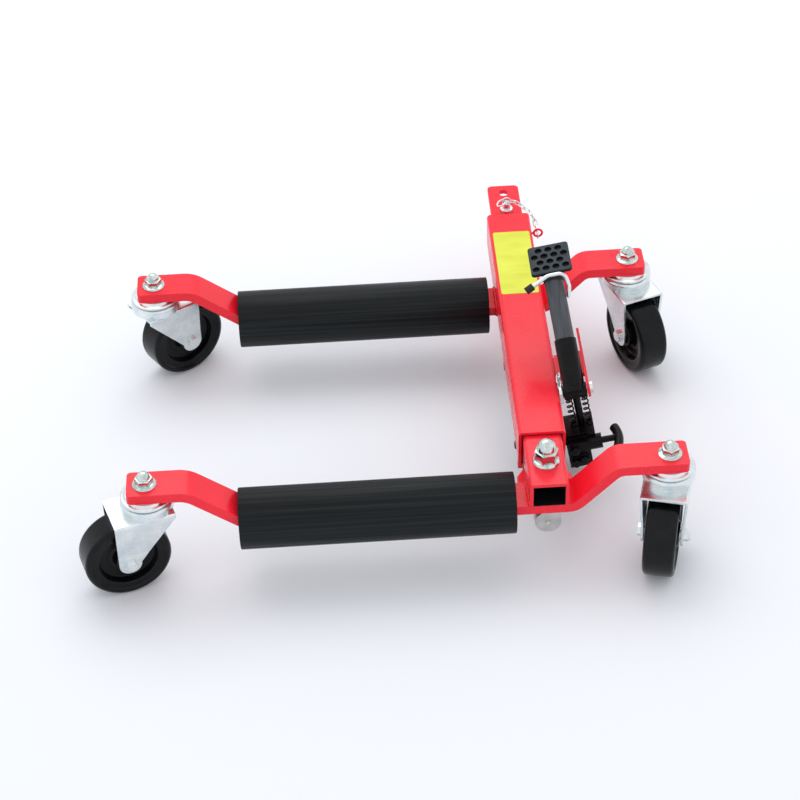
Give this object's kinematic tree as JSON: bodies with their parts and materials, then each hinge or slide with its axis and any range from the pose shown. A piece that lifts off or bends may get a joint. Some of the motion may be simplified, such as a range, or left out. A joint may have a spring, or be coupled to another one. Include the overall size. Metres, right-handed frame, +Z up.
{
  "type": "vehicle positioning jack",
  "caption": "Foot-pumped wheel dolly on swivel casters: rollers on a telescoping beam close under a tyre and lift the wheel so that a standing vehicle can be pushed about.",
  "frame": {"origin": "on the floor under the middle of the tyre cradle, between the two rollers in the closed state", "axes": "+X along the rollers towards the beam and pump, +Y from the front arm to the rear arm along the beam, +Z up"},
  "size_m": [0.7097, 0.6467, 0.2389],
  "materials": {
    "red_paint": "gloss",
    "roller_plastic": "satin",
    "wheel_plastic": "satin",
    "zinc": "bright zinc plated",
    "bright_nut": "bright plated",
    "black_paint": "semi-gloss",
    "gunmetal": "satin grey",
    "bare_steel": "machined",
    "nylon": "matte",
    "black_rubber": "matte"
  },
  "bodies": {
    "frame": {"beam_tube": "red_paint", "beam_end_plug": "red_paint", "tail_bar": "red_paint", "chain_eye": "red_paint", "pin_chain": "zinc", "rear_arm": "red_paint", "rear_hubs": "red_paint", "slide_pads": "nylon", "ram_barrel": "black_paint", "ram_gland": "bare_steel", "ram_end_cap": "black_paint", "ram_hangers": "red_paint", "pump_block": "black_paint", "pump_guard": "red_paint", "pivot_bracket": "zinc", "pivot_pin": "zinc", "release_collar": "black_paint", "return_springs": "black_paint", "rear_king_bolts": "zinc", "rear_dome_nuts": "bright_nut", "rear_races": "zinc"},
    "slider": {"slider_tube": "red_paint", "front_arm": "red_paint", "front_hubs": "red_paint", "arm_gussets": "red_paint", "ram_bolt": "zinc", "ram_nut": "bright_nut", "bolt_spacer": "bare_steel", "rod_end": "bare_steel", "ram_rod": "bare_steel", "ram_piston": "bare_steel", "front_king_bolts": "zinc", "front_dome_nuts": "bright_nut", "front_races": "zinc"},
    "front_roller": {"front_roller": "roller_plastic", "front_bushes": "nylon"},
    "rear_roller": {"rear_roller": "roller_plastic", "rear_bushes": "nylon"},
    "pedal": {"lever_socket": "black_paint", "lever_tube": "gunmetal", "lever_cap": "black_paint", "pedal_pad": "black_paint", "hook_rod": "zinc", "hook_tip": "black_rubber"},
    "plunger": {"pump_plunger": "bare_steel"},
    "knob": {"release_knob": "black_paint"},
    "pin": {"lock_pin": "zinc", "pull_ring": "zinc"},
    "caster_front_left": {"fork_front_left": "zinc", "axle_front_left": "zinc"},
    "wheel_front_left": {"wheel_front_left": "wheel_plastic"},
    "caster_front_right": {"fork_front_right": "zinc", "axle_front_right": "zinc"},
    "wheel_front_right": {"wheel_front_right": "wheel_plastic"},
    "caster_rear_left": {"fork_rear_left": "zinc", "axle_rear_left": "zinc"},
    "wheel_rear_left": {"wheel_rear_left": "wheel_plastic"},
    "caster_rear_right": {"fork_rear_right": "zinc", "axle_rear_right": "zinc"},
    "wheel_rear_right": {"wheel_rear_right": "wheel_plastic"}
  },
  "joints": [
    {"name": "beam_slide", "type": "slide", "parent": "frame", "child": "slider", "axis": [0, 1, 0], "range_m": [-0.18, 0.01]},
    {"name": "front_roller_spin", "type": "hinge", "parent": "slider", "child": "front_roller", "pos_m": [0, -0.18, 0.08], "axis": [1, 0, 0], "continuous": true},
    {"name": "rear_roller_spin", "type": "hinge", "parent": "frame", "child": "rear_roller", "pos_m": [0, 0.18, 0.08], "axis": [1, 0, 0], "continuous": true},
    {"name": "pedal_hinge", "type": "hinge", "parent": "frame", "child": "pedal", "pos_m": [0.2361, -0.0533, 0.1329], "axis": [0.9848, 0, 0.1736], "range_deg": [-24, 0], "stiffness_Nm_per_rad": 12, "springref_deg": 20.05, "deforming": ["return_springs"]},
    {"name": "plunger_slide", "type": "slide", "parent": "frame", "child": "plunger", "axis": [-0.1736, 0, 0.9848], "range_m": [-0.0092, 0], "deforming": ["return_springs"]},
    {"name": "release_turn", "type": "hinge", "parent": "frame", "child": "knob", "pos_m": [0.25544, -0.0553, 0.05203], "axis": [0.9848, 0, 0.1736], "range_deg": [0, 120]},
    {"name": "lock_pin_pull", "type": "slide", "parent": "frame", "child": "pin", "axis": [0, 0, 1], "range_m": [0, 0.045], "deforming": ["pin_chain"]},
    {"name": "swivel_front_left", "type": "hinge", "parent": "slider", "child": "caster_front_left", "pos_m": [-0.256, -0.18, 0.129], "axis": [0, 0, 1], "continuous": true},
    {"name": "wheel_spin_front_left", "type": "hinge", "parent": "caster_front_left", "child": "wheel_front_left", "pos_m": [-0.28643, -0.18989, 0.05], "axis": [0.309, -0.9511, 0], "continuous": true},
    {"name": "swivel_front_right", "type": "hinge", "parent": "slider", "child": "caster_front_right", "pos_m": [0.328, -0.18, 0.129], "axis": [0, 0, 1], "continuous": true},
    {"name": "wheel_spin_front_right", "type": "hinge", "parent": "caster_front_right", "child": "wheel_front_right", "pos_m": [0.31972, -0.21091, 0.05], "axis": [0.9659, -0.2588, 0], "continuous": true},
    {"name": "swivel_rear_left", "type": "hinge", "parent": "frame", "child": "caster_rear_left", "pos_m": [-0.256, 0.18, 0.129], "axis": [0, 0, 1], "continuous": true},
    {"name": "wheel_spin_rear_left", "type": "hinge", "parent": "caster_rear_left", "child": "wheel_rear_left", "pos_m": [-0.22979, 0.19835, 0.05], "axis": [-0.5736, 0.8192, 0], "continuous": true},
    {"name": "swivel_rear_right", "type": "hinge", "parent": "frame", "child": "caster_rear_right", "pos_m": [0.328, 0.18, 0.129], "axis": [0, 0, 1], "continuous": true},
    {"name": "wheel_spin_rear_right", "type": "hinge", "parent": "caster_rear_right", "child": "wheel_rear_right", "pos_m": [0.33894, 0.14993, 0.05], "axis": [0.9397, 0.342, 0], "continuous": true}
  ],
  "couplings": [
    {"joint": "plunger_slide", "follows": "pedal_hinge", "m_per_rad": 0.0209}
  ]
}
